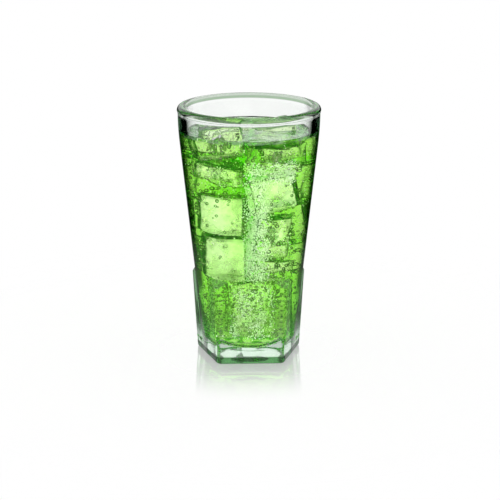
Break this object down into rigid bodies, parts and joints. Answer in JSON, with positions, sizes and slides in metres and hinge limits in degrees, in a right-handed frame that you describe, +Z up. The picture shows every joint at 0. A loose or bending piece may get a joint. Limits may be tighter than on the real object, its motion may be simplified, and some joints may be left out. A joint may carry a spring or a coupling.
{
  "type": "highball glass",
  "caption": "Tapered clear highball glass on a faceted foot, filled with a green fizzy drink and loose ice. It stands on its flat base.",
  "frame": {"origin": "middle of the foot, on the surface that the glass stands on", "axes": "+Z up along the axis of the glass; one flat side of the foot faces -Y, the front"},
  "size_m": [0.084, 0.084, 0.15],
  "materials": {
    "clear_glass": "clear, polished",
    "green_drink": "clear liquid",
    "ice": "wet, partly cloudy"
  },
  "bodies": {
    "glass": {"tumbler": "clear_glass", "drink": "green_drink"},
    "ice_bottom": {"ice_bottom": "ice"},
    "ice_front_left_1": {"ice_front_left_1": "ice"},
    "ice_front_left_2": {"ice_front_left_2": "ice"},
    "ice_front_left_3": {"ice_front_left_3": "ice"},
    "ice_front_left_4": {"ice_front_left_4": "ice"},
    "ice_front_right_1": {"ice_front_right_1": "ice"},
    "ice_front_right_2": {"ice_front_right_2": "ice"},
    "ice_front_right_3": {"ice_front_right_3": "ice"},
    "ice_front_right_4": {"ice_front_right_4": "ice"},
    "ice_back_left_1": {"ice_back_left_1": "ice"},
    "ice_back_left_2": {"ice_back_left_2": "ice"},
    "ice_back_left_3": {"ice_back_left_3": "ice"},
    "ice_back_left_4": {"ice_back_left_4": "ice"},
    "ice_back_right_1": {"ice_back_right_1": "ice"},
    "ice_back_right_2": {"ice_back_right_2": "ice"},
    "ice_back_right_3": {"ice_back_right_3": "ice"},
    "ice_back_right_4": {"ice_back_right_4": "ice"}
  },
  "joints": [
    {"name": "lift_ice_bottom", "type": "slide", "parent": "glass", "child": "ice_bottom", "axis": [0, 0, 1], "range_m": [0, 0.146], "deforming": ["drink"]},
    {"name": "lift_ice_front_left_1", "type": "slide", "parent": "ice_bottom", "child": "ice_front_left_1", "axis": [0, 0, 1], "range_m": [0, 0.111], "deforming": ["drink"]},
    {"name": "lift_ice_front_left_2", "type": "slide", "parent": "ice_front_left_1", "child": "ice_front_left_2", "axis": [0, 0, 1], "range_m": [0, 0.082], "deforming": ["drink"]},
    {"name": "lift_ice_front_left_3", "type": "slide", "parent": "ice_front_left_2", "child": "ice_front_left_3", "axis": [0, 0, 1], "range_m": [0, 0.052], "deforming": ["drink"]},
    {"name": "lift_ice_front_left_4", "type": "slide", "parent": "ice_front_left_3", "child": "ice_front_left_4", "axis": [0, 0, 1], "range_m": [0, 0.038], "deforming": ["drink"]},
    {"name": "lift_ice_front_right_1", "type": "slide", "parent": "ice_bottom", "child": "ice_front_right_1", "axis": [0, 0, 1], "range_m": [0, 0.111], "deforming": ["drink"]},
    {"name": "lift_ice_front_right_2", "type": "slide", "parent": "ice_front_right_1", "child": "ice_front_right_2", "axis": [0, 0, 1], "range_m": [0, 0.096], "deforming": ["drink"]},
    {"name": "lift_ice_front_right_3", "type": "slide", "parent": "ice_front_right_2", "child": "ice_front_right_3", "axis": [0, 0, 1], "range_m": [0, 0.07], "deforming": ["drink"]},
    {"name": "lift_ice_front_right_4", "type": "slide", "parent": "ice_front_right_3", "child": "ice_front_right_4", "axis": [0, 0, 1], "range_m": [0, 0.045], "deforming": ["drink"]},
    {"name": "lift_ice_back_left_1", "type": "slide", "parent": "ice_bottom", "child": "ice_back_left_1", "axis": [0, 0, 1], "range_m": [0, 0.111], "deforming": ["drink"]},
    {"name": "lift_ice_back_left_2", "type": "slide", "parent": "ice_back_left_1", "child": "ice_back_left_2", "axis": [0, 0, 1], "range_m": [0, 0.088], "deforming": ["drink"]},
    {"name": "lift_ice_back_left_3", "type": "slide", "parent": "ice_back_left_2", "child": "ice_back_left_3", "axis": [0, 0, 1], "range_m": [0, 0.063], "deforming": ["drink"]},
    {"name": "lift_ice_back_left_4", "type": "slide", "parent": "ice_back_left_3", "child": "ice_back_left_4", "axis": [0, 0, 1], "range_m": [0, 0.04], "deforming": ["drink"]},
    {"name": "lift_ice_back_right_1", "type": "slide", "parent": "ice_bottom", "child": "ice_back_right_1", "axis": [0, 0, 1], "range_m": [0, 0.111], "deforming": ["drink"]},
    {"name": "lift_ice_back_right_2", "type": "slide", "parent": "ice_back_right_1", "child": "ice_back_right_2", "axis": [0, 0, 1], "range_m": [0, 0.091], "deforming": ["drink"]},
    {"name": "lift_ice_back_right_3", "type": "slide", "parent": "ice_back_right_2", "child": "ice_back_right_3", "axis": [0, 0, 1], "range_m": [0, 0.065], "deforming": ["drink"]},
    {"name": "lift_ice_back_right_4", "type": "slide", "parent": "ice_back_right_3", "child": "ice_back_right_4", "axis": [0, 0, 1], "range_m": [0, 0.041], "deforming": ["drink"]}
  ]
}
